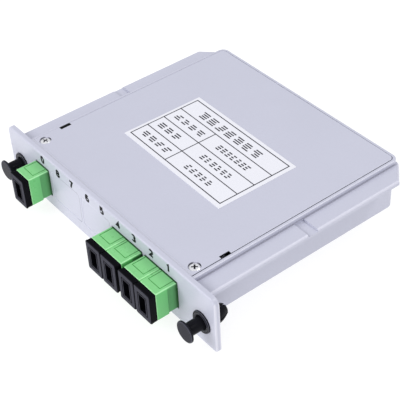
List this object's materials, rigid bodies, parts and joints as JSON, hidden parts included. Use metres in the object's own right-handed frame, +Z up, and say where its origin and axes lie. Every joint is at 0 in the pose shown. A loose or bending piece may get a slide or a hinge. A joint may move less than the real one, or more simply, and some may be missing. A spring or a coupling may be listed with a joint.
{
  "type": "plc fibre splitter",
  "caption": "Plug-in optical splitter cassette: shallow box with guide flanges and a front panel that carries capped fibre adapters, blanking plates and push latches.",
  "frame": {"origin": "middle of the panel's width, on the panel's rear seating face, at the level of the underside", "axes": "+X to the right seen from the front, +Y from the panel to the rear of the case, +Z up"},
  "size_m": [0.13, 0.1116, 0.0242],
  "materials": {
    "abs_grey": "fine satin, light lavender grey",
    "screw_steel": "zinc plated",
    "spring_steel": "drawn wire",
    "label_white": "smooth printed paper",
    "adapter_green": "semi gloss",
    "carrier_plastic": "natural",
    "ceramic": "polished",
    "cap_black": "satin",
    "connector_green": "semi gloss",
    "boot_green": "matte",
    "latch_black": "satin",
    "module_steel": "satin",
    "potting": "cast",
    "chip_glass": "polished",
    "jacket_white": "smooth jacket",
    "jacket_blue": "smooth jacket",
    "jacket_orange": "smooth jacket",
    "jacket_green": "smooth jacket",
    "jacket_brown": "smooth jacket"
  },
  "bodies": {
    "cassette": {"base_shell": "abs_grey", "cover": "abs_grey", "cover_screws": "screw_steel", "label": "label_white", "adapter_housing_in": "adapter_green", "sleeve_carrier_in": "carrier_plastic", "alignment_sleeve_in": "ceramic", "connector_housing_in": "connector_green", "ferrule_in": "ceramic", "ferrule_spring_in": "spring_steel", "connector_boot_in": "boot_green", "adapter_housing_1": "adapter_green", "sleeve_carrier_1": "carrier_plastic", "alignment_sleeve_1": "ceramic", "connector_housing_1": "connector_green", "ferrule_1": "ceramic", "ferrule_spring_1": "spring_steel", "connector_boot_1": "boot_green", "adapter_housing_2": "adapter_green", "sleeve_carrier_2": "carrier_plastic", "alignment_sleeve_2": "ceramic", "connector_housing_2": "connector_green", "ferrule_2": "ceramic", "ferrule_spring_2": "spring_steel", "connector_boot_2": "boot_green", "adapter_housing_3": "adapter_green", "sleeve_carrier_3": "carrier_plastic", "alignment_sleeve_3": "ceramic", "connector_housing_3": "connector_green", "ferrule_3": "ceramic", "ferrule_spring_3": "spring_steel", "connector_boot_3": "boot_green", "adapter_housing_4": "adapter_green", "sleeve_carrier_4": "carrier_plastic", "alignment_sleeve_4": "ceramic", "connector_housing_4": "connector_green", "ferrule_4": "ceramic", "ferrule_spring_4": "spring_steel", "connector_boot_4": "boot_green", "blank_plate_7_8": "abs_grey", "blank_plate_5_6": "abs_grey", "latch_grommet_left": "latch_black", "latch_grommet_right": "latch_black", "plc_case": "module_steel", "plc_plug_in": "potting", "plc_plug_out": "potting", "plc_chip": "chip_glass", "fibre_in": "jacket_white", "fibre_1": "jacket_blue", "fibre_2": "jacket_orange", "fibre_3": "jacket_green", "fibre_4": "jacket_brown"},
    "cap_in": {"dust_cap_in": "cap_black"},
    "cap_1": {"dust_cap_1": "cap_black"},
    "cap_2": {"dust_cap_2": "cap_black"},
    "cap_3": {"dust_cap_3": "cap_black"},
    "cap_4": {"dust_cap_4": "cap_black"},
    "plunger_left": {"latch_plunger_left": "latch_black"},
    "plunger_right": {"latch_plunger_right": "latch_black"}
  },
  "joints": [
    {"name": "latch_push_left", "type": "slide", "parent": "cassette", "child": "plunger_left", "axis": [0, 1, 0], "range_m": [0, 0.0058]},
    {"name": "latch_push_right", "type": "slide", "parent": "cassette", "child": "plunger_right", "axis": [0, 1, 0], "range_m": [0, 0.0058]},
    {"name": "cap_pull_in", "type": "slide", "parent": "cassette", "child": "cap_in", "axis": [0, -1, 0], "range_m": [0, 0.012]},
    {"name": "cap_pull_1", "type": "slide", "parent": "cassette", "child": "cap_1", "axis": [0, -1, 0], "range_m": [0, 0.012]},
    {"name": "cap_pull_2", "type": "slide", "parent": "cassette", "child": "cap_2", "axis": [0, -1, 0], "range_m": [0, 0.012]},
    {"name": "cap_pull_3", "type": "slide", "parent": "cassette", "child": "cap_3", "axis": [0, -1, 0], "range_m": [0, 0.012]},
    {"name": "cap_pull_4", "type": "slide", "parent": "cassette", "child": "cap_4", "axis": [0, -1, 0], "range_m": [0, 0.012]}
  ]
}
